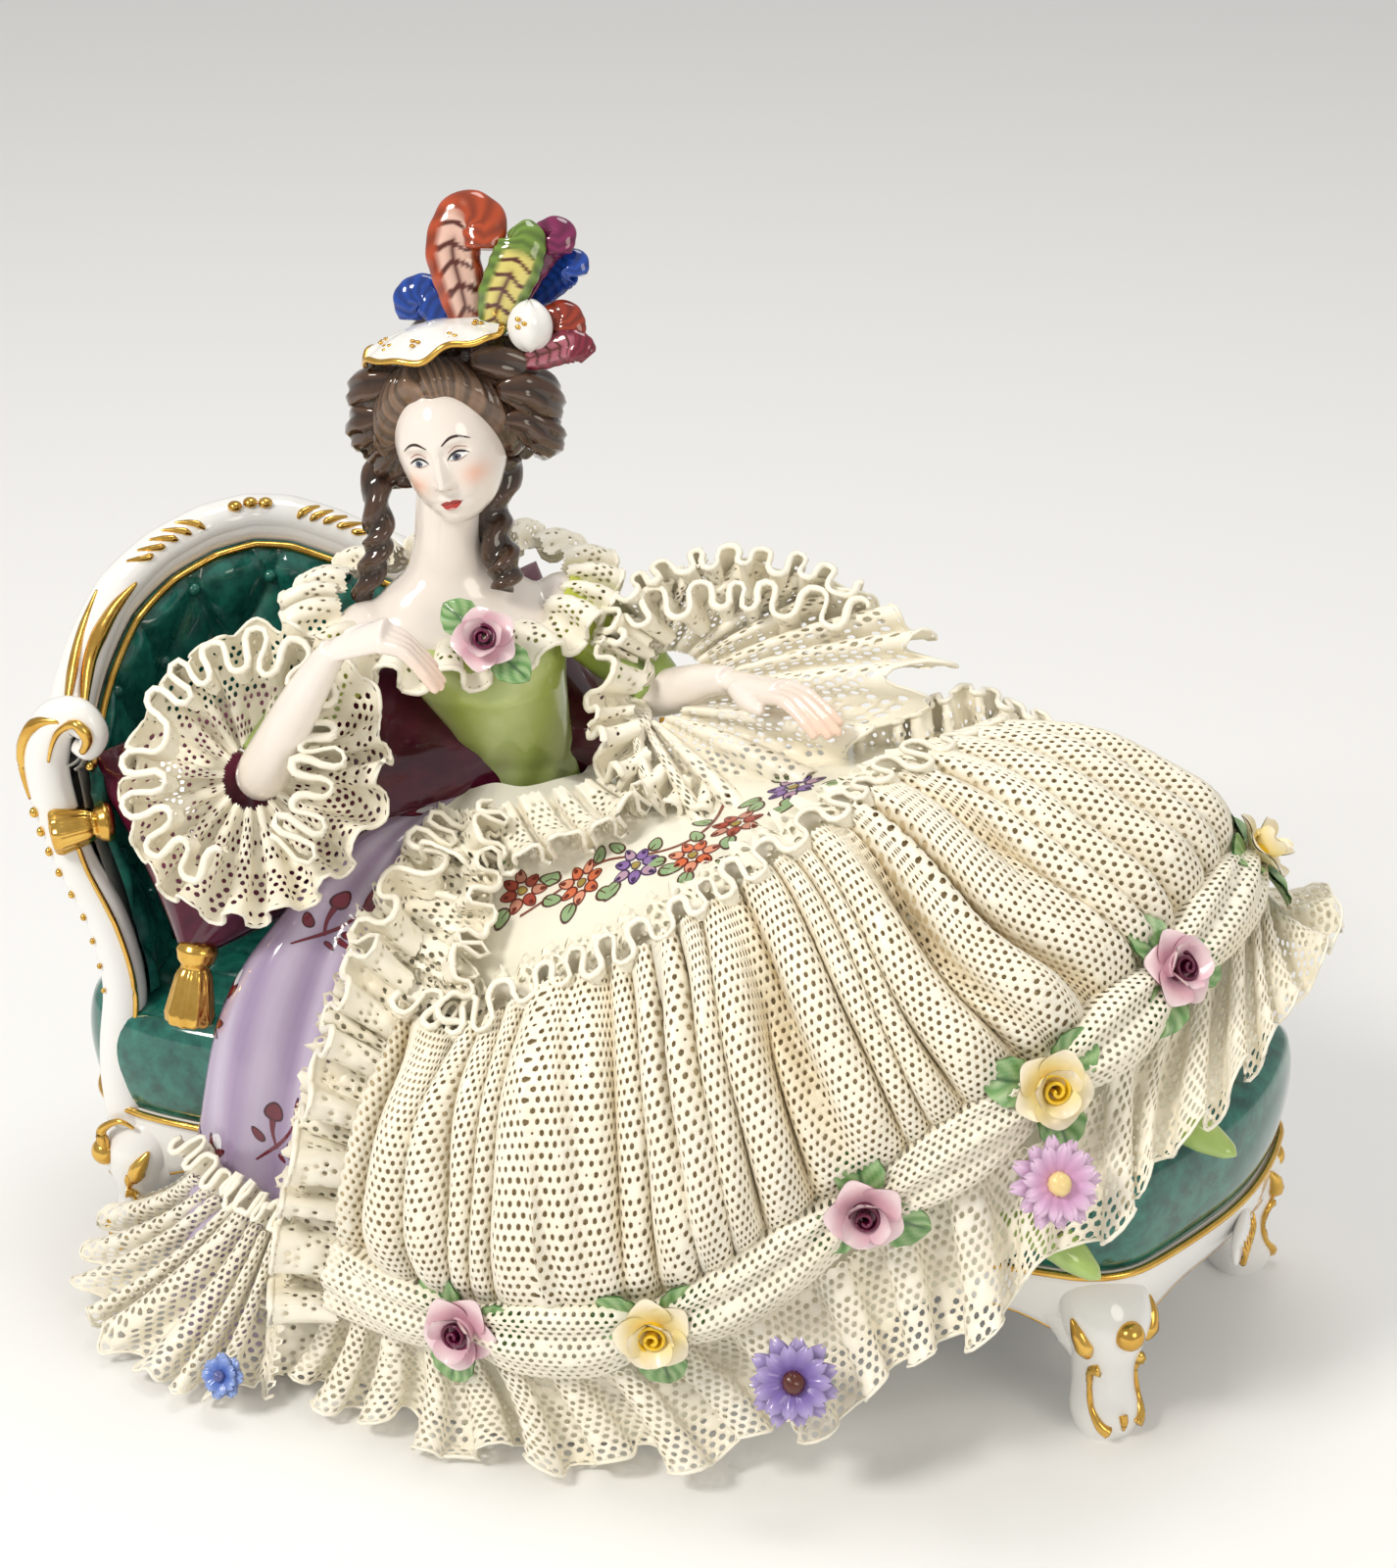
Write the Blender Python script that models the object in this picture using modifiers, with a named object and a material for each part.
"""Porcelain lace figurine: a lady in a net gown, reclining on a gilded chaise longue.

Lengths below are in millimetres. +X runs along the chaise from its back to its foot end,
-Y is the front, and +Z is up. The finished model stands with the middle of its box at the origin.
"""

import math

import bpy
import bmesh
import numpy as np
from mathutils import Matrix, Vector

MM = 0.001
GAP = 0.4

# Chaise longue
SEAT_PLAN = [
    (-100, -67), (-30, -68), (50, -68), (96, -67), (104, -64), (113, -47), (119, -33), (122, -18),
    (122, -5), (116, 2), (60, 4), (0, 4), (-70, 3), (-90, -2), (-104, -18), (-109, -42),
]
SEAT_TOP = 60.0
RAIL_TOP = 34.0
RAIL_LOW = 25.0
RAIL_DROP = 7.0
UNDERSIDE = 30.0
SEAT_MIDDLE_Y = -32.0
BACK_PLAN = [(-99, -66), (-105, -46), (-103, -26), (-91, -10), (-74, -4), (-46, -2), (-17, -4)]
BACK_LEAN = 8.0
BACK_THICK = 7.0
CREST_HEIGHT = 143.0
SHOULDER_HEIGHT = 118.0
LEG_PLACES = {
    "front_left": (-98, -63), "front_right": (100, -63), "back_right": (115, -4), "back_left": (-88, -7),
}
LEG_PROFILE = [
    (38, 7.0, 0.0), (30, 10.4, 0.8), (24, 9.4, 1.8), (17, 6.6, 1.2), (10, 5.6, 0.8),
    (3, 6.5, 2.6), (0, 5.4, 2.6),
]

# Pillow
PILLOW_MIDDLE = (-57, -37, 104)
PILLOW_LONG = (0.72, 0.645, 0.27)
PILLOW_SHORT = (-0.63, 0.44, 0.64)
PILLOW_SIZE = (96, 46, 22)

# Lady: where she faces, and her side-to-side direction
FACING = np.array([0.545, -0.837, 0.0])
SIDEWAYS = np.array([0.837, 0.545, 0.0])
HEAD_MIDDLE = np.array([-39.0, -31.0, 170.0])
HEAD_TURN = math.radians(9)
HEAD_ROLL = math.radians(15)
TORSO = [
    (99, (-25.0, -28.5), 10.0, 8.2), (106, (-27.0, -29.0), 9.8, 8.2), (114, (-29.5, -30.5), 12.0, 9.8),
    (122, (-32.0, -32.5), 14.5, 11.8), (130, (-35.0, -32.5), 17.5, 11.4), (136, (-37.5, -31.5), 19.5, 9.6),
    (140, (-39.0, -31.0), 14.5, 7.6), (144, (-40.0, -31.0), 8.4, 6.6), (150, (-40.5, -31.0), 6.3, 6.2),
    (160, (-40.0, -30.5), 6.2, 6.2),
]

# Gown: lines from the waist to the hem, going round the skirt from the front left by the foot end
# to the far side and back. Each has a point at the waist, lap, heading, middle, band and hem.
GOWN_LINES = [
    [(-33, -42, 103), (-36, -60, 95), (-34, -80, 78), (-35, -92, 59), (-40, -98, 32), (-43, -98, 2)],
    [(-27, -44, 106), (-21, -62, 94), (-19, -84, 74), (-22, -97, 54), (-21, -102, 29), (-21, -104, 2)],
    [(-22, -44, 106), (-8, -60, 97), (-2, -82, 84), (1, -98, 63), (1, -104, 29), (2, -106, 2)],
    [(-19, -42, 106), (0, -55, 102), (14, -78, 92), (23, -95, 68), (26, -100, 35), (27, -98, 4)],
    [(-15, -40, 107), (7, -50, 105), (30, -70, 103), (46, -88, 82), (55, -91, 56), (60, -88, 26)],
    [(-14, -36, 106), (13, -44, 107), (44, -58, 112), (69, -74, 94), (86, -78, 80), (97, -76, 52)],
    [(-14, -30, 104), (19, -38, 111), (54, -42, 117), (81, -52, 107), (102, -52, 91), (118, -50, 68)],
    [(-15, -24, 103), (23, -28, 111), (64, -26, 118), (90, -24, 111), (110, -20, 97), (124, -16, 76)],
    [(-15, -19, 103), (24, -16, 109), (64, -10, 112), (88, -6, 101), (104, 0, 86), (114, 3, 70)],
    [(-16, -15, 102), (16, -7, 100), (44, 1, 96), (66, 6, 84), (82, 9, 74), (92, 10, 64)],
    [(-19, -13, 102), (5, -5, 93), (22, 3, 86), (38, 8, 76), (50, 10, 68), (58, 11, 62)],
    [(-23, -13, 102), (-6, -6, 90), (3, 1, 80), (9, 6, 72), (14, 9, 66), (18, 10, 61)],
    [(-28, -15, 102), (-20, -11, 92), (-16, -10, 80), (-14, -10, 72), (-14, -10, 66), (-14, -10, 61)],
    [(-34, -20, 102), (-38, -18, 92), (-42, -17, 80), (-45, -16, 72), (-47, -16, 66), (-48, -16, 61)],
    [(-37, -29, 101), (-49, -38, 94), (-58, -43, 82), (-64, -46, 74), (-68, -48, 67), (-70, -50, 61)],
    [(-37, -36, 101), (-50, -56, 98), (-62, -73, 84), (-69, -81, 68), (-72, -86, 44), (-78, -88, 8)],
    [(-35, -40, 102), (-41, -60, 99), (-48, -78, 85), (-53, -90, 63), (-57, -95, 35), (-62, -99, 2)],
]
FLOOR_CLEARANCE = 1.5
GOWN_INSET = -0.8
LAYER_FLOOR = 0.6

MATERIALS = {
    "white_glaze": ((0.93, 0.92, 0.89), 0.12, 0.0),
    "maroon_glaze": ((0.17, 0.01, 0.04), 0.12, 0.0),
    "lilac_glaze": ((0.55, 0.42, 0.60), 0.2, 0.0),
    "skin_glaze": ((0.90, 0.80, 0.74), 0.15, 0.0),
    "hat_glaze": ((0.70, 0.25, 0.10), 0.15, 0.0),
    "lace": ((0.90, 0.86, 0.74), 0.45, 0.0),
    "lime_glaze": ((0.55, 0.68, 0.25), 0.15, 0.0),
    "pink_petals": ((0.80, 0.45, 0.50), 0.3, 0.0),
    "yellow_petals": ((0.85, 0.70, 0.25), 0.3, 0.0),
    "blue_petals": ((0.25, 0.35, 0.75), 0.3, 0.0),
    "purple_petals": ((0.45, 0.35, 0.65), 0.3, 0.0),
}


def make_collection(name):
    collection = bpy.data.collections.new(name)
    bpy.context.scene.collection.children.link(collection)
    return collection


def clear_scene():
    for old in list(bpy.data.objects):
        bpy.data.objects.remove(old, do_unlink=True)


def make_material(name):
    colour, roughness, metallic = MATERIALS[name]
    material = bpy.data.materials.get(name) or bpy.data.materials.new(name)
    material.use_nodes = True
    shader = material.node_tree.nodes["Principled BSDF"]
    shader.inputs["Base Color"].default_value = (*colour, 1.0)
    shader.inputs["Roughness"].default_value = roughness
    shader.inputs["Metallic"].default_value = metallic
    return material


def smooth_path(points, count, closed=False):
    """Points at even parameter steps on the Catmull-Rom curve through the given points."""
    points = np.array(points, float)
    total = len(points)
    spans = total if closed else total - 1
    steps = np.linspace(0, spans, count, endpoint=not closed)
    path = []
    for step in steps:
        first = min(int(step), spans - 1)
        path.append(blend_four(points, first, step - first, closed))
    return np.array(path)


def blend_four(points, first, part, closed):
    """The Catmull-Rom blend of the four points round a span. Open ends repeat their last point."""
    total = len(points)
    picks = [first - 1, first, first + 1, first + 2]
    if closed:
        before, start, end, after = (points[pick % total] for pick in picks)
    else:
        before, start, end, after = (points[min(max(pick, 0), total - 1)] for pick in picks)
    return 0.5 * (
        2 * start
        + (end - before) * part
        + (2 * before - 5 * start + 4 * end - after) * part**2
        + (3 * start - before - 3 * end + after) * part**3
    )


def unit(vector):
    vector = np.asarray(vector, float)
    return vector / np.linalg.norm(vector, axis=-1, keepdims=True)


def away_from_spine(outline):
    """The direction at each point of the seat's plan away from the line along its middle."""
    spine = np.column_stack([np.clip(outline[:, 0], -78.0, 92.0), np.full(len(outline), SEAT_MIDDLE_Y)])
    return unit(outline - spine)


def add_object(name, points, faces, material, collection):
    mesh = bpy.data.meshes.new(name)
    mesh.from_pydata([tuple(point * MM) for point in np.asarray(points, float)], [], faces)
    mesh.validate()
    thing = bpy.data.objects.new(name, mesh)
    collection.objects.link(thing)
    mesh.materials.append(make_material(material))
    face_outwards(mesh)
    return thing


def face_outwards(mesh):
    work = bmesh.new()
    work.from_mesh(mesh)
    bmesh.ops.remove_doubles(work, verts=work.verts, dist=0.00002)
    bmesh.ops.recalc_face_normals(work, faces=work.faces)
    if work.calc_volume(signed=True) < 0:
        bmesh.ops.reverse_faces(work, faces=work.faces)
    work.to_mesh(mesh)
    work.free()


def add_loft(name, rings, material, collection):
    """A closed solid through rings of equal length, with a fan to the middle at both ends."""
    rings = np.asarray(rings, float)
    count, size = rings.shape[:2]
    points = list(rings.reshape(-1, 3))
    faces = []
    for ring in range(count - 1):
        for side in range(size):
            after = (side + 1) % size
            low, high = ring * size, (ring + 1) * size
            faces.append((low + side, low + after, high + after, high + side))
    for ring in (0, count - 1):
        middle = len(points)
        points.append(rings[ring].mean(axis=0))
        for side in range(size):
            faces.append((ring * size + side, ring * size + (side + 1) % size, middle))
    return add_object(name, points, faces, material, collection)


def add_slab(name, upper, lower, material, collection, closed=False):
    """A closed solid between two grids of points. A closed slab joins its last column to its first."""
    upper, lower = np.asarray(upper, float), np.asarray(lower, float)
    rows, columns = upper.shape[:2]
    points = np.concatenate([upper.reshape(-1, 3), lower.reshape(-1, 3)])
    half = rows * columns
    wrap = columns if closed else columns - 1
    faces = []
    for row in range(rows - 1):
        for column in range(wrap):
            after = (column + 1) % columns
            a, b = row * columns + column, row * columns + after
            c, d = (row + 1) * columns + after, (row + 1) * columns + column
            faces.append((a, b, c, d))
            faces.append((half + d, half + c, half + b, half + a))
    for row, turn in ((0, False), (rows - 1, True)):
        for column in range(wrap):
            a, b = row * columns + column, row * columns + (column + 1) % columns
            side = (b, a, half + a, half + b)
            faces.append(side[::-1] if turn else side)
    if not closed:
        for column, turn in ((0, False), (columns - 1, True)):
            for row in range(rows - 1):
                a, b = row * columns + column, (row + 1) * columns + column
                side = (a, b, half + b, half + a)
                faces.append(side[::-1] if turn else side)
    return add_object(name, points, faces, material, collection)


def add_tube(name, route, radii, material, collection, sides=8, flatten=1.0, flat_way=(0, 0, 1)):
    """A round-ended tube along a route, with a radius at each of its points."""
    route = np.asarray(route, float)
    radii = np.asarray(radii, float)
    along = unit(np.gradient(route, axis=0))
    rings = []
    for point, way, radius in zip(route, along, radii):
        first = unit(np.cross(way, flat_way) + 1e-6)
        second = np.cross(first, way)
        angles = np.arange(sides) * 2 * math.pi / sides
        rings.append(
            point
            + radius * np.cos(angles)[:, None] * first
            + radius * flatten * np.sin(angles)[:, None] * second
        )
    return add_loft(name, rings, material, collection)


def add_ball(name, middle, sizes, material, collection, turn=None, segments=16, rings=10):
    """An ellipsoid with the given half-sizes, turned about its middle."""
    mesh = bpy.data.meshes.new(name)
    work = bmesh.new()
    bmesh.ops.create_uvsphere(work, u_segments=segments, v_segments=rings, radius=1.0)
    work.to_mesh(mesh)
    work.free()
    ball = bpy.data.objects.new(name, mesh)
    collection.objects.link(ball)
    scale = Matrix.Diagonal((*[size * MM for size in sizes], 1.0))
    place = Matrix.Translation(Vector([value * MM for value in middle]))
    mesh.transform(place @ (turn.to_4x4() if turn else Matrix()) @ scale)
    mesh.materials.append(make_material(material))
    return ball


def settle(thing):
    """Replace an object's mesh by its evaluated one, and clear its modifiers."""
    graph = bpy.context.evaluated_depsgraph_get()
    mesh = bpy.data.meshes.new_from_object(thing.evaluated_get(graph))
    old = thing.data
    thing.modifiers.clear()
    thing.data = mesh
    bpy.data.meshes.remove(old)


def combine(thing, other, operation):
    """Join, or cut, a solid by another one."""
    change = thing.modifiers.new(operation.lower(), "BOOLEAN")
    change.operation = operation
    change.object = other
    change.solver = "EXACT"
    settle(thing)


def remove_object(thing):
    mesh = thing.data
    bpy.data.objects.remove(thing, do_unlink=True)
    bpy.data.meshes.remove(mesh)


def join_all(thing, others):
    for other in others:
        combine(thing, other, "UNION")
        remove_object(other)
    return thing


def melt_together(thing, others, grain, triangles):
    """Fuse overlapping shapes into one skin, and thin it to a number of triangles."""
    work = bmesh.new()
    for piece in [thing, *others]:
        work.from_mesh(piece.data)
    work.to_mesh(thing.data)
    work.free()
    for other in others:
        remove_object(other)
    skin = thing.modifiers.new("skin", "REMESH")
    skin.mode = "VOXEL"
    skin.voxel_size = grain * MM
    soften = thing.modifiers.new("soften", "SMOOTH")
    soften.factor = 0.5
    soften.iterations = 2
    settle(thing)
    keep_largest(thing)
    thin(thing, triangles)
    return thing


def thin(thing, triangles):
    thing.data.calc_loop_triangles()
    count = len(thing.data.loop_triangles)
    if count > triangles:
        fewer = thing.modifiers.new("fewer", "DECIMATE")
        fewer.ratio = triangles / count
        fewer.use_collapse_triangulate = True
        settle(thing)


def keep_largest(thing):
    """Drop all but the largest connected body."""
    work = bmesh.new()
    work.from_mesh(thing.data)
    left = set(work.verts)
    bodies = []
    while left:
        start = left.pop()
        body, front = {start}, [start]
        while front:
            vertex = front.pop()
            for edge in vertex.link_edges:
                other = edge.other_vert(vertex)
                if other in left:
                    left.discard(other)
                    body.add(other)
                    front.append(other)
        bodies.append(body)
    bodies.sort(key=body_extent, reverse=True)
    for body in bodies[1:]:
        bmesh.ops.delete(work, geom=sorted(body, key=lambda vertex: vertex.index), context="VERTS")
    work.to_mesh(thing.data)
    work.free()


def body_extent(body):
    places = np.array([vertex.co[:] for vertex in body])
    return float(np.prod(places.max(axis=0) - places.min(axis=0) + 1e-4))


def make_room(thing, neighbours, cutters, triangles, gap=GAP):
    """Cut a solid back so that a gap is left round each neighbour, and keep it to few triangles."""
    for neighbour in neighbours:
        if not boxes_meet(thing, neighbour):
            continue
        grown = neighbour.copy()
        grown.data = neighbour.data.copy()
        grown.name = f"{thing.name}_{neighbour.name}_room"
        cutters.objects.link(grown)
        work = bmesh.new()
        work.from_mesh(grown.data)
        work.normal_update()
        shifts = [vertex.normal * gap * MM * min(shell_factor(vertex), 1.6) for vertex in work.verts]
        for vertex, shift in zip(work.verts, shifts):
            vertex.co += shift
        work.to_mesh(grown.data)
        work.free()
        combine(thing, grown, "DIFFERENCE")
        remove_object(grown)
        keep_largest(thing)
    thin(thing, triangles)


def shell_factor(vertex):
    """How much further a corner moves than its faces, for an even gap."""
    closest = min((vertex.normal.dot(face.normal) for face in vertex.link_faces), default=1.0)
    return 1.0 / max(closest, 0.3)


def boxes_meet(one, other):
    first = np.array([vertex.co[:] for vertex in one.data.vertices])
    second = np.array([vertex.co[:] for vertex in other.data.vertices])
    reach = GAP * MM
    return bool(
        np.all(first.min(axis=0) - reach < second.max(axis=0))
        and np.all(second.min(axis=0) - reach < first.max(axis=0))
    )


def rail_low(place):
    """The height of the rail's lower edge, which drops into each leg."""
    reach = 13.0
    near = [math.exp(-((math.dist(place, leg) / reach) ** 2)) for leg in LEG_PLACES.values()]
    return RAIL_LOW - RAIL_DROP * min(sum(near), 1.0)


def make_seat(collection):
    outline = smooth_path(SEAT_PLAN, 32, closed=True)
    outward = away_from_spine(outline)
    low = np.array([rail_low(place) for place in outline])
    rings = []
    for inset, height in ((-7.0, None), (-5.5, -1.0), (-1.0, -1.0)):
        level = np.full(len(outline), UNDERSIDE) if height is None else low
        rings.append(np.column_stack([outline + outward * inset, level]))
    for inset, height in (
        (0.8, 31.6), (2.2, RAIL_TOP), (1.0, 36.0), (2.6, 44.0),
        (1.6, 53.5), (-3.0, 58.0), (-16.0, SEAT_TOP),
    ):
        rings.append(np.column_stack([outline + outward * inset, np.full(len(outline), height)]))
    return add_loft("chaise", rings, "white_glaze", collection)


def make_leg(name, place, collection):
    middle = np.array([0.0, SEAT_MIDDLE_Y])
    outward = unit(np.sign(np.array(place, float) - middle))
    sides = 8
    angles = np.arange(sides) * 2 * math.pi / sides
    rings = []
    for height, radius, shift in LEG_PROFILE:
        centre = np.array(place) + outward * shift
        ring = centre + radius * np.column_stack([np.cos(angles), np.sin(angles)])
        rings.append(np.column_stack([ring, np.full(sides, height)]))
    return add_loft(name, rings, "white_glaze", collection)


def back_height(part):
    """The rim's height along the back, from one end at 0 through the crest at 0.5 to the other at 1."""
    away = abs(part - 0.5) * 2
    rise = [(0.0, CREST_HEIGHT), (0.13, 142.0), (0.28, 139.0), (0.45, 134.0), (0.62, 126.0),
            (0.78, 117.5), (0.9, 115.5), (1.0, SHOULDER_HEIGHT)]
    places, heights = zip(*rise)
    return float(np.interp(away, places, heights))


def lean_at(height):
    """How far the back leans outwards at a height above the floor."""
    part = min(max((height - 62.0) / 46.0, 0.0), 1.0)
    return BACK_LEAN * part * part * (3 - 2 * part)


def make_back(collection):
    plan = smooth_path(BACK_PLAN, 17)
    along = np.gradient(plan, axis=0)
    outward = unit(np.stack([-along[:, 1], along[:, 0]], axis=1))
    half = BACK_THICK / 2
    rings = []
    for index, (place, way) in enumerate(zip(plan, outward)):
        top = back_height(index / (len(plan) - 1))
        section = [
            (half, 54.0), (half, 84.0), (half + 0.4, top - 13), (half + 2.4, top - 8),
            (half + 1.4, top - 1.6), (-0.6, top), (-half - 1.2, top - 2.4), (-half - 1.8, top - 6),
            (-half - 0.6, top - 10), (-half - 3.4, (top + 66) / 2), (-half - 1.6, 66.0), (-half, 54.0),
        ]
        ring = [
            (*(place + way * (shift + lean_at(height))), height) for shift, height in section
        ]
        rings.append(ring)
    return add_loft("back", rings, "white_glaze", collection)


def make_stile(name, foot, outward, front, collection):
    """The S-curved end of the back with its scroll, standing on the seat's edge."""
    foot, outward, front = (np.array(vector, float) for vector in (foot, outward, front))
    shape = [
        (0, 0.0, 32), (0.5, 0.6, 46), (-1.5, 1.0, 62), (1.0, 1.4, 76), (6.5, 1.8, 88), (9.5, 2.2, 99),
        (10.5, 2.6, 109), (8.0, 3.0, 117), (2.5, 3.0, 119), (-1.0, 3.0, 115.5),
    ]
    route = [
        np.array([*(foot + outward * aside + front * ahead), height]) for aside, ahead, height in shape
    ]
    route = smooth_path(route, 11)
    radii = np.interp(
        np.linspace(0, 1, 11), [0, 0.2, 0.5, 0.75, 0.88, 1.0], [5.0, 4.4, 4.2, 5.0, 4.2, 3.0]
    )
    return add_tube(name, route, radii, "white_glaze", collection, sides=7, flat_way=(*front, 0.0))


def make_chaise(collection):
    chaise = make_seat(collection)
    others = [make_leg(f"leg_{name}", place, collection) for name, place in LEG_PLACES.items()]
    others.append(make_back(collection))
    others.append(make_stile("front_stile", (-100, -65), (-1, 0), (0, -1), collection))
    others.append(make_stile("rear_stile", (-17, -2.5), (0, 1), (1, 0), collection))
    join_all(chaise, others)
    keep_largest(chaise)
    return chaise


def make_pillow(collection):
    """A crowned pillow whose sides pull in between its corners, with two gilded tassels."""
    middle = np.array(PILLOW_MIDDLE, float)
    long_way = unit(PILLOW_LONG)
    short_way = unit(np.array(PILLOW_SHORT) - long_way * np.dot(PILLOW_SHORT, long_way))
    through = np.cross(long_way, short_way)
    length, width, thick = PILLOW_SIZE
    across, down = np.linspace(-1, 1, 9), np.linspace(-1, 1, 6)
    grids = []
    for face in (1, -1):
        grid = []
        for v in down:
            row = []
            for u in across:
                x = u * length / 2 * (1 - 0.07 * (1 - v * v))
                y = v * width / 2 * (1 - 0.10 * (1 - u * u))
                crown = ((1 - u**4) * (1 - v**4)) ** 0.5
                z = face * (0.4 + crown * (thick / 2 - 0.4))
                row.append(middle + long_way * x + short_way * y + through * z)
            grid.append(row)
        grids.append(grid)
    pillow = add_slab("pillow", grids[0], grids[1], "maroon_glaze", collection)
    tassels = []
    for name, corner, hang in (
        ("upper", (-1, 1), (-1.0, -6.0, -13.0)), ("lower", (-1, -1), (-1.0, -5.0, -15.0)),
    ):
        start = middle + long_way * corner[0] * (length / 2 - 2) + short_way * corner[1] * (width / 2 - 2)
        route = smooth_path([start, start + np.array(hang) * 0.35, start + np.array(hang)], 6)
        radii = [2.0, 3.4, 3.0, 2.6, 3.6, 3.8]
        tassels.append(add_tube(f"tassel_{name}", route, radii, "maroon_glaze", collection, sides=6,
                                flat_way=(1, 0, 0)))
    return join_all(pillow, tassels)


def torso_ring(height, middle, half_width, half_depth, sides=20):
    angles = np.arange(sides) * 2 * math.pi / sides
    centre = np.array([*middle, height])
    return (
        centre
        + half_width * np.cos(angles)[:, None] * SIDEWAYS
        + half_depth * np.sin(angles)[:, None] * FACING
    )


def head_turn():
    """The head's rotation: turned a little to the front left and rolled towards the foot end."""
    view = Vector((math.sin(HEAD_TURN), -math.cos(HEAD_TURN), 0.0))
    roll = Matrix.Rotation(-HEAD_ROLL, 3, view * -1.0)
    return roll @ Matrix.Rotation(HEAD_TURN, 3, "Z")


def head_point(x, y, z):
    """A place given in the head's own directions: right of the face, behind it and above."""
    return HEAD_MIDDLE + np.array(head_turn() @ Vector((x, y, z)))


def make_hand(name, wrist, knuckles, tips, spread, collection):
    """A slim hand: a flat palm, four fingers and a thumb."""
    wrist, knuckles, tips, spread = (np.array(point, float) for point in (wrist, knuckles, tips, spread))
    spread = unit(spread)
    parts = []
    palm = smooth_path([wrist, (wrist + knuckles) / 2, knuckles], 5)
    parts.append(add_tube(f"{name}_palm", palm, [2.6, 3.0, 3.6, 3.9, 3.2], "skin_glaze", collection,
                          flatten=0.5, flat_way=np.cross(knuckles - wrist, spread)))
    for finger in range(4):
        aside = spread * (finger - 1.5) * 1.75
        reach = 1.0 - 0.09 * abs(finger - 1.4)
        start = knuckles + aside
        end = knuckles + (tips - knuckles) * reach + aside * 1.25
        lift = np.array([0.0, 0.0, 1.4])
        route = smooth_path([start, (start + end) / 2 + lift, end], 6)
        parts.append(add_tube(f"{name}_finger_{finger}", route, [1.25, 1.25, 1.2, 1.1, 1.0, 0.7],
                              "skin_glaze", collection, sides=6))
    start = wrist + (knuckles - wrist) * 0.3 - spread * 2.2
    end = start + (knuckles - wrist) * 0.75 - spread * 2.4 - np.array([0.0, 0.0, 1.5])
    route = smooth_path([start, (start + end) / 2 - spread * 0.8, end], 5)
    parts.append(add_tube(f"{name}_thumb", route, [1.5, 1.5, 1.35, 1.2, 0.8], "skin_glaze",
                          collection, sides=6))
    return parts


def make_arms(collection):
    parts = []
    raised = smooth_path([(-54, -41, 132), (-61, -54, 123), (-65, -68, 113), (-58, -72, 122),
                          (-50, -74, 136), (-44, -75, 145)], 16)
    girth = np.interp(np.linspace(0, 1, 16), [0, 0.2, 0.42, 0.6, 0.85, 1], [6.2, 6.0, 5.0, 4.6, 3.4, 2.7])
    parts.append(add_tube("raised_arm", raised, girth, "skin_glaze", collection, sides=10))
    resting = smooth_path([(-19, -19, 133), (-12, -18, 126), (-4, -19, 118), (5, -23, 122), (16, -28, 126)], 14)
    girth = np.interp(np.linspace(0, 1, 14), [0, 0.3, 0.5, 0.7, 1], [6.8, 6.6, 5.6, 4.2, 2.8])
    parts.append(add_tube("resting_arm", resting, girth, "skin_glaze", collection, sides=10))
    parts += make_hand("raised_hand", (-45, -75, 144), (-35, -75, 148), (-24, -71, 138), (0.3, -0.9, -0.25),
                       collection)
    parts += make_hand("resting_hand", (15, -28, 126), (27, -34, 128), (42, -42, 124), (-0.45, -0.85, -0.2),
                       collection)
    return parts


def make_hair(collection):
    parts = []
    turn = head_turn()
    for name, place, sizes in (
        ("crown_hair", (0, 5.5, 7.0), (15.5, 12.5, 12.5)), ("nape_hair", (0, 8.0, -3.0), (13.0, 8.5, 12.0)),
        ("left_puff_high", (-13.5, 2.5, 8.0), (6.0, 6.5, 6.0)), ("left_puff", (-14.5, 2.5, 0.0), (5.5, 6.5, 6.5)),
        ("right_puff_high", (13.5, 2.5, 8.0), (6.0, 6.5, 6.0)), ("right_puff", (14.0, 3.5, -1.0), (5.5, 6.5, 7.5)),
        ("front_roll", (0, -5.0, 15.5), (11.0, 6.5, 5.0)),
    ):
        parts.append(add_ball(name, head_point(*place), sizes, "skin_glaze", collection, turn))
    for name, points in (
        ("long_curl", [(-54, -30, 167), (-53, -35, 158), (-52, -37, 150), (-54, -38, 142), (-56, -39, 137)]),
        ("short_curl", [(-31, -24, 163), (-33, -25, 156), (-31, -29, 150), (-28, -34, 145), (-28, -35, 141)]),
    ):
        route = smooth_path(points, 12)
        beads = 2.9 + 0.55 * np.cos(np.arange(12) * 2.1)
        parts.append(add_tube(name, route, beads, "skin_glaze", collection))
    return parts


def make_lady(collection):
    torso = add_loft("lady", [torso_ring(*ring) for ring in TORSO], "skin_glaze", collection)
    turn = head_turn()
    parts = [
        add_ball("skull", HEAD_MIDDLE, (10.6, 12.0, 13.5), "skin_glaze", collection, turn, 24, 16),
        add_ball("jaw", head_point(0, -3.4, -6.5), (7.6, 7.8, 8.2), "skin_glaze", collection, turn, 20, 12),
        add_ball("chin", head_point(0, -8.2, -12.2), (3.0, 2.6, 2.4), "skin_glaze", collection, turn),
        add_ball("nose", head_point(0, -12.0, -2.0), (1.5, 2.0, 3.0), "skin_glaze", collection, turn),
        add_ball("left_shoulder", (-53, -41, 132), (7.5, 7.5, 7.0), "skin_glaze", collection),
        add_ball("right_shoulder", (-21, -20, 134), (7.5, 7.5, 7.0), "skin_glaze", collection),
    ]
    parts += make_arms(collection)
    parts += make_hair(collection)
    return melt_together(torso, parts, grain=0.7, triangles=1300)


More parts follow.
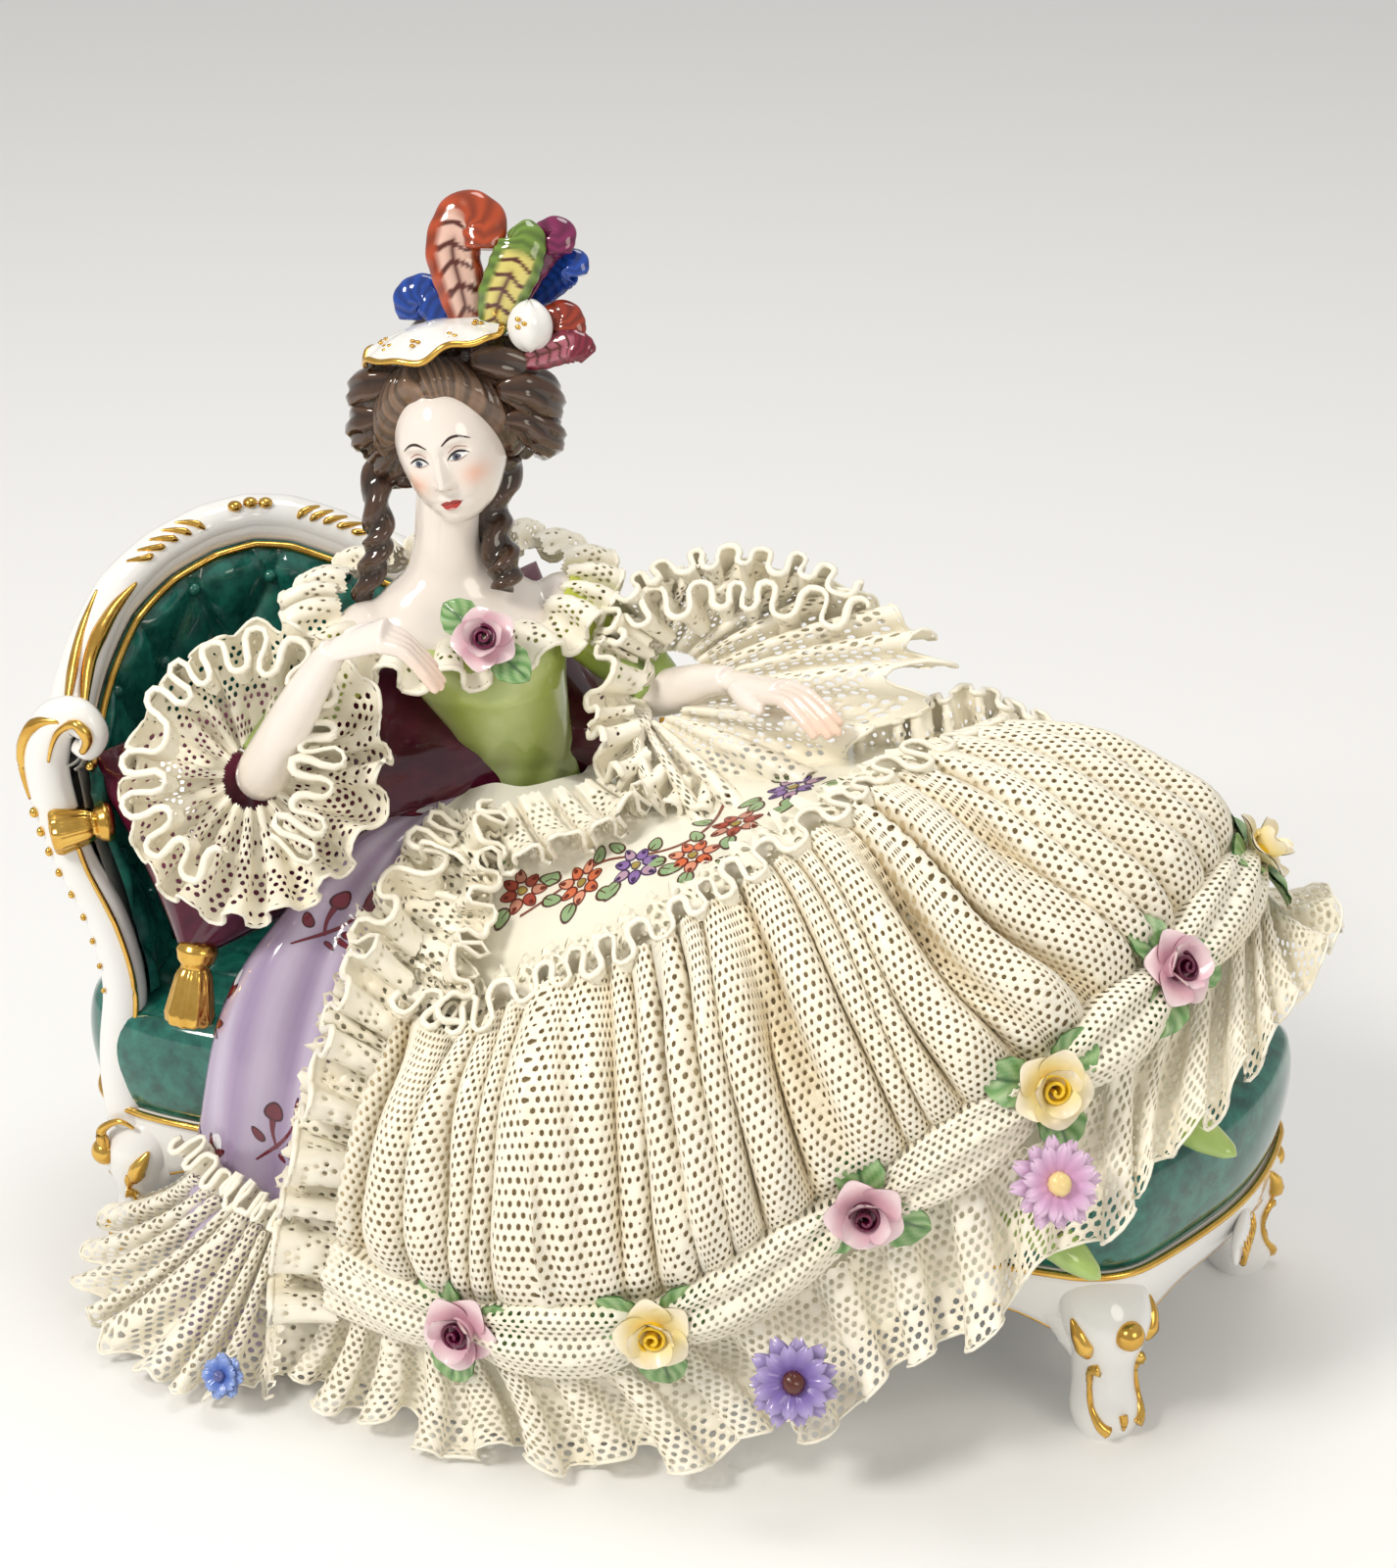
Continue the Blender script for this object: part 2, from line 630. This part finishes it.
def gown_point(line, fall):
    """A point of the gown: line counts the gown lines round it, and fall runs from waist 0 to hem 1."""
    cage = np.array(GOWN_LINES, float)
    step = fall * (cage.shape[1] - 1)
    row = min(int(step), cage.shape[1] - 2)
    line = line % len(cage)
    column = int(line)
    picks = [blend_four(cage[(column + k) % len(cage)], row, step - row, False) for k in (-1, 0, 1, 2)]
    return blend_four(np.array(picks), 1, line - column, False)


def gown_grid(lines, falls, height):
    """Points of the gown at each fall and line, raised from it by a height."""
    grid = np.empty((len(falls), len(lines), 3))
    step = 0.02
    for row, fall in enumerate(falls):
        for column, line in enumerate(lines):
            across = gown_point(line + step, fall) - gown_point(line - step, fall)
            down = gown_point(line, min(fall + step, 1.0)) - gown_point(line, max(fall - step, 0.0))
            grid[row, column] = gown_point(line, fall) + unit(np.cross(down, across)) * height
    return grid


def make_gown(collection):
    """The gown's solid: the skirt's surface, closed by a flat base and a core inside the seat."""
    lines = np.arange(0, len(GOWN_LINES), 0.5)
    falls = np.array([0, 0.14, 0.27, 0.4, 0.6, 0.8, 1.0])
    rings = list(gown_grid(lines, falls, GOWN_INSET))
    for ring in rings:
        ring[:, 2] = np.maximum(ring[:, 2], FLOOR_CLEARANCE)
    hem = rings[-1]
    inner = hem.copy()
    inner[:, 0] = np.clip(inner[:, 0], -80, 98)
    inner[:, 1] = np.clip(inner[:, 1], -71, -2)
    core = inner.copy()
    core[:, 0] = np.clip(inner[:, 0], -74, 92)
    core[:, 1] = np.clip(inner[:, 1], -58, -10)
    core[:, 2] = 48.0
    rings += [inner, core]
    return add_loft("gown", rings, "lilac_glaze", collection)


def make_slipper(name, heel, toe, collection):
    heel, toe = np.array(heel, float), np.array(toe, float)
    route = smooth_path([heel, heel + (toe - heel) * 0.5 + np.array([0, 0, 0.8]), toe], 7)
    radii = [3.4, 4.4, 4.6, 4.3, 3.6, 2.6, 0.9]
    return add_tube(name, route, radii, "lime_glaze", collection, sides=8, flatten=0.75)


def make_ruffle(name, inner, outer, waves, swing, collection, thick=1.3, closed=False):
    """A gathered strip between two edges, which waves more towards its outer edge."""
    columns = 2 * waves if closed else 2 * waves + 1
    inner_edge = smooth_path(inner, columns, closed)
    outer_edge = smooth_path(outer, columns, closed)
    if closed:
        along = np.roll(inner_edge + outer_edge, -1, axis=0) - np.roll(inner_edge + outer_edge, 1, axis=0)
    else:
        along = np.gradient(inner_edge + outer_edge, axis=0)
    proud = unit(np.cross(along, outer_edge - inner_edge))
    upper, lower = [], []
    for line, depth in ((inner_edge, 0.35), (outer_edge, 1.0)):
        wave = np.array([swing * depth * (-1) ** index for index in range(columns)])
        middle = line + proud * wave[:, None]
        upper.append(middle + proud * thick / 2)
        lower.append(middle - proud * thick / 2)
    return add_slab(name, upper, lower, "lace", collection, closed)


def make_layer(name, lines, courses, swing, collection):
    """A gathered layer over the gown. courses give how far it stands out at each fall."""
    upper, lower = [], []
    swings = swing * (-1.0) ** np.arange(len(lines))
    for fall, rise in courses:
        base = gown_grid(lines, [fall], LAYER_FLOOR)[0]
        above = gown_grid(lines, [fall], rise)[0]
        upper.append(above + unit(above - base) * swings[:, None])
        lower.append(base)
    return add_slab(name, upper, lower, "lace", collection)


def make_net_skirt(collection):
    """Gathered net over the gown, from the heading to the ribbon band."""
    courses = [(0.435, 1.9), (0.54, 2.7), (0.66, 3.0), (0.765, 2.4)]
    return make_layer("net_skirt", np.linspace(0.35, 11.3, 43), courses, 0.9, collection)


def make_ribbon_band(collection):
    """The broad ribbon of net that swags between the roses, puffed along its middle."""
    courses = [(0.775, 1.4), (0.80, 3.8), (0.83, 4.0), (0.858, 1.6)]
    return make_layer("ribbon_band", np.linspace(0.2, 10.2, 29), courses, 0.2, collection)


def make_heading_ruffle(collection):
    """The looped frill that heads the net skirt."""
    courses = [(0.362, 1.8), (0.395, 4.4), (0.427, 2.0)]
    return make_layer("heading_ruffle", np.linspace(0.35, 10.0, 39), courses, 0.7, collection)


def make_side_ruffle(collection):
    """The frill that runs down the front left edge of the net, from the waist ruffle to the floor."""
    falls = np.linspace(0.30, 0.955, 23)
    upper, lower = [], []
    for line, puff in ((-0.42, 1.9), (-0.14, 3.8), (0.14, 1.9)):
        points = [gown_grid([line], [fall], puff + 1.1 * (-1) ** index)[0][0]
                  for index, fall in enumerate(falls)]
        upper.append(points)
        lower.append([gown_grid([line], [fall], LAYER_FLOOR)[0][0] for fall in falls])
    return add_slab("side_ruffle", upper, lower, "lace", collection)


HEM_OUTER = [
    (-47, -103, 4), (-22, -113, 3), (0, -114, 3), (28, -108, 5), (52, -104, 14), (72, -98, 28),
    (88, -92, 42), (106, -82, 60), (119, -66, 74), (128, -46, 84), (132, -22, 89), (129, -2, 84), (118, 10, 76),
    (103, 16, 69),
]
TRAIN_OUTER = [(-93, -72, 20), (-99, -85, 6), (-91, -97, 4), (-78, -107, 3.5), (-62, -110, 3), (-52, -107, 3)]
WAIST_INNER = [(-37, -50, 103), (-28, -53, 103), (-19, -49, 106), (-11, -45, 107.5), (-5, -41, 108.5)]
WAIST_OUTER = [(-38, -70, 92), (-24, -75, 88), (-12, -64, 97), (-6, -58, 101), (-1, -54, 103)]
LAP_INNER = [(38, -24, 114), (49, -19, 117), (61, -14, 117.5), (74, -11, 115), (85, -10, 109)]
LAP_OUTER = [(37, -22, 122), (48, -15, 127), (62, -11, 128), (76, -8, 124), (88, -8, 117)]


def make_hem_ruffle(collection):
    lines = np.linspace(0.15, 9.6, 15)
    inner = gown_grid(lines, [0.875], 1.6)[0]
    return make_ruffle("hem_ruffle", inner, HEM_OUTER, 33, 1.9, collection, thick=1.5)


def make_train_ruffle(collection):
    lines = np.linspace(-2.15, -0.55, 6)
    inner = gown_grid(lines, [0.84], 1.6)[0]
    return make_ruffle("train_ruffle", inner, TRAIN_OUTER, 13, 1.8, collection, thick=1.5)


def ring_edge(middle, first, second, reach_first, reach_second, count=12):
    """Points of an oval that lies along two directions."""
    middle, first, second = (np.array(vector, float) for vector in (middle, first, second))
    angles = np.arange(count) * 2 * math.pi / count
    return [
        middle
        + unit(first) * reach_first * math.cos(angle)
        + unit(second) * reach_second * math.sin(angle)
        for angle in angles
    ]


def make_neckline_ruffle(collection):
    inner, outer = [], []
    for index in range(16):
        angle = index * 2 * math.pi / 16
        for edge, wide, deep, drop in ((inner, 23.5, 13.0, 0.0), (outer, 33.0, 21.0, -3.0)):
            place = np.array([-40.0, -30.5, 137.0])
            place = place + SIDEWAYS * wide * math.cos(angle) + FACING * deep * math.sin(angle)
            place[2] += 4.0 * math.cos(angle) - 5.5 * math.sin(angle) + drop
            edge.append(place)
    return make_ruffle("neckline_ruffle", inner, outer, 19, 1.4, collection, thick=1.3, closed=True)


def make_sleeve_ruffles(collection):
    left_first, left_second = (0.95, 0.3, 0.05), (-0.1, 0.5, 0.86)
    left = make_ruffle(
        "left_sleeve_ruffle",
        ring_edge((-66, -70, 114), left_first, left_second, 12.0, 13.5),
        ring_edge((-66, -75, 112), left_first, left_second, 25.0, 28.5),
        19, 1.9, collection, thick=1.4, closed=True)
    inner = [(-7, -24, 124), (-5, -19, 127), (1, -16, 128), (7, -19, 127), (9, -25, 123), (6, -30, 118),
             (-1, -31, 115), (-7, -28, 118)]
    outer = [(-9, -18, 138), (-2, -9, 146), (14, -4, 146), (36, -6, 138), (48, -20, 131), (25, -38, 118),
             (8, -47, 111), (-9, -39, 115)]
    right = make_ruffle("right_sleeve_ruffle", inner, outer, 18, 1.5, collection, thick=1.4, closed=True)
    return left, right


def make_bloom(name, place, facing, size, material, collection, petals=5, leaves=3):
    """A flower on its leaves: a star of leaves below, a lobed ring of petals and a raised heart."""
    facing = unit(facing)
    first = unit(np.cross(facing, (0.3, 0.2, 0.9)))
    second = np.cross(facing, first)
    sides = 2 * petals
    angles = np.arange(sides) * 2 * math.pi / sides
    lobes = 1 + 0.12 * (-1) ** np.arange(sides)
    spikes = 0.75 + 0.55 * (np.cos(angles * leaves) > 0.5)
    rings = []
    for height, reach, outline in (
        (0.4, 0.5, 1.0), (1.2, 0.95, spikes), (2.4, 0.95, lobes), (4.4, 0.8, lobes), (5.6, 0.34, 1.0),
    ):
        radius = np.ones(sides) * size / 2 * reach * outline
        rings.append(
            np.array(place)
            + facing * height
            + radius[:, None] * (np.cos(angles)[:, None] * first + np.sin(angles)[:, None] * second)
        )
    return add_loft(name, rings, material, collection)


def make_daisy(name, place, facing, size, material, collection, petals=9):
    facing = unit(facing)
    first = unit(np.cross(facing, (0.3, 0.2, 0.9)))
    second = np.cross(facing, first)
    sides = 2 * petals
    angles = np.arange(sides) * 2 * math.pi / sides
    notches = 1 - 0.22 * (np.arange(sides) % 2)
    rings = []
    for height, reach, outline in ((0.4, 0.9, notches), (1.6, 1.0, notches), (2.6, 0.35, 1.0)):
        radius = np.ones(sides) * size / 2 * reach * outline
        rings.append(
            np.array(place)
            + facing * height
            + radius[:, None] * (np.cos(angles)[:, None] * first + np.sin(angles)[:, None] * second)
        )
    return add_loft(name, rings, material, collection)


BAND_ROSES = [
    ("pink", 1.55), ("yellow", 2.95), ("pink", 4.15), ("yellow", 5.05), ("pink", 6.0), ("yellow", 7.15),
]


def make_flowers(collection):
    flowers = []
    for number, (colour, line) in enumerate(BAND_ROSES, 1):
        base = gown_grid([line], [0.815], 3.9)[0][0]
        facing = base - gown_grid([line], [0.815], 0.0)[0][0]
        flowers.append(make_bloom(f"rose_{number}", base, facing, 15.0, f"{colour}_petals", collection))
    flowers.append(make_bloom("bodice_rose", (-27, -46, 136), (0.3, -0.85, 0.4), 13.0, "pink_petals", collection))
    for name, place, facing, size, material in (
        ("blue_daisy", (-58, -109, 7), (-0.1, -0.85, 0.5), 10.0, "blue_petals"),
        ("purple_daisy", (53, -108, 28), (0.2, -0.85, 0.45), 18.0, "purple_petals"),
        ("lilac_daisy", (95, -92, 68), (0.45, -0.75, 0.45), 18.0, "purple_petals"),
    ):
        flowers.append(make_daisy(name, place, facing, size, material, collection))
    return flowers


FEATHERS = [
    ("orange", [(-34, -31, 192), (-37, -31, 202), (-39, -28, 211), (-35, -26, 215)], 5.6),
    ("green", [(-29, -31, 193), (-26, -31, 202), (-23, -28, 210), (-26, -26, 212)], 5.4),
    ("magenta", [(-26, -25, 198), (-22, -24, 206), (-20, -24, 211)], 4.2),
    ("blue_right", [(-27, -24, 196), (-21, -22, 202), (-17, -22, 205)], 4.2),
    ("blue_left", [(-38, -29, 192), (-45, -28, 195), (-48, -27, 197)], 4.4),
    ("rust", [(-27, -29, 190), (-20, -28, 192), (-16, -28, 194)], 3.6),
    ("burgundy", [(-24, -30, 187), (-17, -30, 188), (-12, -30, 189)], 3.4),
]


def make_hat(collection):
    """A small tilted hat with a puff and seven curled plumes."""
    turn = head_turn()
    hat = add_ball("plumed_hat", head_point(3, -2.5, 21.0), (14.0, 10.0, 2.4), "hat_glaze", collection, turn)
    parts = [add_ball("puff", (-23, -30, 194), (4.4, 4.2, 4.4), "hat_glaze", collection)]
    for name, route, girth in FEATHERS:
        count = 8
        radii = girth * np.interp(np.linspace(0, 1, count), [0, 0.35, 0.8, 1], [0.6, 1.0, 0.95, 0.45])
        parts.append(add_tube(f"{name}_plume", smooth_path(route, count), radii, "hat_glaze", collection,
                              flatten=0.5, flat_way=(0.3, -0.85, 0.3)))
    return melt_together(hat, parts, grain=0.7, triangles=400)


def stand_at_origin(things):
    """Move everything so that the middle of the model's box stands at the origin."""
    places = np.concatenate([[vertex.co[:] for vertex in thing.data.vertices] for thing in things])
    low, high = places.min(axis=0), places.max(axis=0)
    shift = Matrix.Translation((-(low[0] + high[0]) / 2, -(low[1] + high[1]) / 2, -low[2]))
    for thing in things:
        thing.data.transform(shift)


def main():
    clear_scene()
    figurine = make_collection("lace_figurine")
    cutters = make_collection("cutters")
    chaise = make_chaise(figurine)
    lady = make_lady(figurine)
    gown = make_gown(figurine)
    make_room(gown, [chaise, lady], cutters, 800)
    pillow = make_pillow(figurine)
    make_room(pillow, [chaise, lady, gown], cutters, 420, gap=0.9)
    hat = make_hat(figurine)
    make_room(hat, [lady], cutters, 420)
    slippers = [
        make_slipper("right_slipper", (93, -48, 64), (117, -57, 61.5), figurine),
        make_slipper("left_slipper", (78, -74, 55), (100, -76, 43), figurine),
    ]
    net = make_net_skirt(figurine)
    heading = make_heading_ruffle(figurine)
    side = make_side_ruffle(figurine)
    band = make_ribbon_band(figurine)
    hem = make_hem_ruffle(figurine)
    train = make_train_ruffle(figurine)
    waist = make_ruffle("waist_ruffle", WAIST_INNER, WAIST_OUTER, 9, 1.6, figurine)
    lap = make_ruffle("lap_frill", LAP_INNER, LAP_OUTER, 9, 1.6, figurine)
    neckline = make_neckline_ruffle(figurine)
    left_sleeve, right_sleeve = make_sleeve_ruffles(figurine)
    flowers = make_flowers(figurine)
    for layer, neighbours, triangles in (
        (slippers[0], [chaise, gown], 90), (slippers[1], [chaise, gown], 90),
        (hem, [gown, side, *slippers], 640), (train, [gown, chaise, side], 300),
        (waist, [lady, gown, side], 300), (lap, [gown, heading, net], 260),
        (neckline, [lady, pillow, chaise], 480), (left_sleeve, [lady, pillow, chaise, gown], 400),
        (right_sleeve, [lady, gown], 900),
    ):
        make_room(layer, neighbours, cutters, triangles, gap=0.8)
    for flower in flowers:
        make_room(flower, [band, hem, train, neckline, lady], cutters, 110)
    layers = [chaise, lady, gown, pillow, hat, *slippers, net, heading, side, band, hem, train, waist, lap,
              neckline, left_sleeve, right_sleeve, *flowers]
    stand_at_origin(layers)


main()
